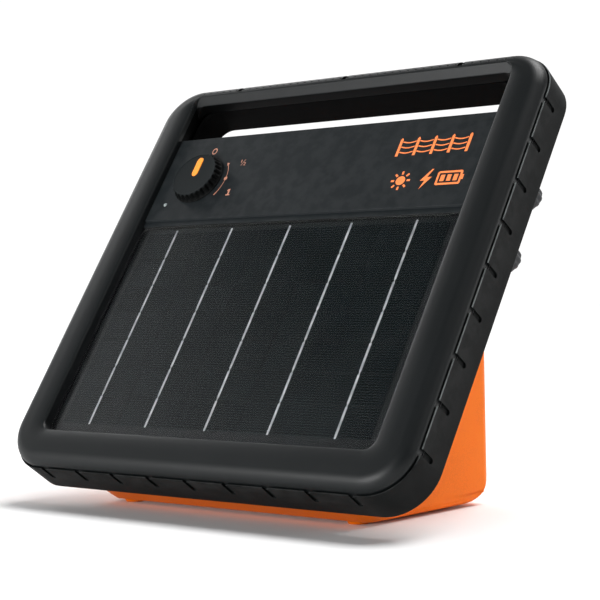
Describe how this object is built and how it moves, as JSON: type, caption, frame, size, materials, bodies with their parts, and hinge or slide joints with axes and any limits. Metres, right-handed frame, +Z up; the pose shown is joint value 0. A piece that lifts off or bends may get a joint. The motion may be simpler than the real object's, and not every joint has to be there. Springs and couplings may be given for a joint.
{
  "type": "solar fence energizer",
  "caption": "Portable solar fence energizer: sloping black case with solar panel, mode dial, carrying handle and rear terminals on a wedge-shaped orange battery base.",
  "frame": {"origin": "centre of the bounding box on the plane the feet stand on", "axes": "+X to the right seen from the front, along the longest extent; +Y to the back, along the shortest extent; +Z up"},
  "size_m": [0.3366, 0.2136, 0.2962],
  "materials": {
    "case_black": "satin moulded plastic",
    "fascia_black": "fine satin plastic with printed legend",
    "orange_plastic": "satin moulded plastic",
    "knob_black": "satin moulded plastic",
    "pointer_orange": "satin moulded plastic",
    "seal_rubber": "matte rubber",
    "solar_glass": "clear glossy cover",
    "solar_cells": "dark blue-black silicon",
    "backsheet": "dark sheet",
    "steel": "zinc plated",
    "brass": "plated blade",
    "copper": "enamelled copper wire",
    "circuit_board": "solder mask green",
    "core_steel": "laminated steel",
    "capacitor_film": "blue moulded box",
    "dark_plastic": "matte moulded plastic",
    "heat_sink": "bare extrusion",
    "battery_case": "matte grey moulded case",
    "red_lead": "cable insulation",
    "black_lead": "cable insulation",
    "clear_plastic": "pale translucent"
  },
  "bodies": {
    "root": {"front_bezel": "case_black", "control_fascia": "fascia_black", "case_gasket": "seal_rubber", "rear_housing": "case_black", "solar_glass": "solar_glass", "solar_backsheet": "backsheet", "cell_string_1": "solar_cells", "cell_string_2": "solar_cells", "cell_string_3": "solar_cells", "cell_string_4": "solar_cells", "cell_string_5": "solar_cells", "switch_body": "dark_plastic", "knob_seal": "seal_rubber", "led_lens": "clear_plastic", "led_emitter": "clear_plastic", "main_board": "circuit_board", "transformer_core": "core_steel", "transformer_coil": "copper", "storage_capacitor_1": "capacitor_film", "storage_capacitor_2": "capacitor_film", "charge_inductor": "copper", "heat_sink": "heat_sink", "battery_base": "orange_plastic", "base_gasket": "seal_rubber", "battery_case": "battery_case", "battery_strap": "steel", "battery_tab_positive": "brass", "battery_tab_negative": "brass", "battery_boot_positive": "red_lead", "battery_boot_negative": "black_lead", "case_screw_1": "steel", "case_screw_2": "steel", "case_screw_3": "steel", "case_screw_4": "steel", "case_screw_5": "steel", "case_screw_6": "steel", "base_screw_1": "steel", "base_screw_2": "steel", "base_screw_3": "steel", "base_screw_4": "steel", "battery_lead_red": "red_lead", "battery_lead_black": "black_lead", "solar_lead_red": "red_lead", "solar_lead_black": "black_lead", "fence_lead": "red_lead", "earth_lead": "black_lead", "fence_stud": "steel", "fence_collar": "dark_plastic", "earth_stud": "steel", "earth_collar": "dark_plastic"},
    "mode_dial": {"mode_knob": "knob_black", "knob_pointer": "pointer_orange", "switch_shaft": "steel"},
    "fence_clamp": {"fence_washer": "steel"},
    "fence_nut": {"fence_knob": "knob_black"},
    "earth_clamp": {"earth_washer": "steel"},
    "earth_nut": {"earth_knob": "knob_black"}
  },
  "joints": [
    {"name": "mode_dial_turn", "type": "hinge", "parent": "root", "child": "mode_dial", "pos_m": [-0.1035, 0.02861, 0.22754], "axis": [0, 0.8192, -0.5736], "range_deg": [0, 120]},
    {"name": "fence_clamp_slide", "type": "slide", "parent": "root", "child": "fence_clamp", "axis": [0, 0.8192, -0.5736], "range_m": [0, 0.004]},
    {"name": "fence_nut_turn", "type": "hinge", "parent": "fence_clamp", "child": "fence_nut", "pos_m": [0.1515, 0.06599, 0.20283], "axis": [0, 0.8192, -0.5736], "range_deg": [0, 1440]},
    {"name": "earth_clamp_slide", "type": "slide", "parent": "root", "child": "earth_clamp", "axis": [0, 0.8192, -0.5736], "range_m": [0, 0.004]},
    {"name": "earth_nut_turn", "type": "hinge", "parent": "earth_clamp", "child": "earth_nut", "pos_m": [0.1515, 0.03789, 0.16269], "axis": [0, 0.8192, -0.5736], "range_deg": [0, 1440]}
  ],
  "couplings": [
    {"joint": "fence_clamp_slide", "follows": "fence_nut_turn", "m_per_rad": 0.00015915},
    {"joint": "earth_clamp_slide", "follows": "earth_nut_turn", "m_per_rad": 0.00015915}
  ]
}
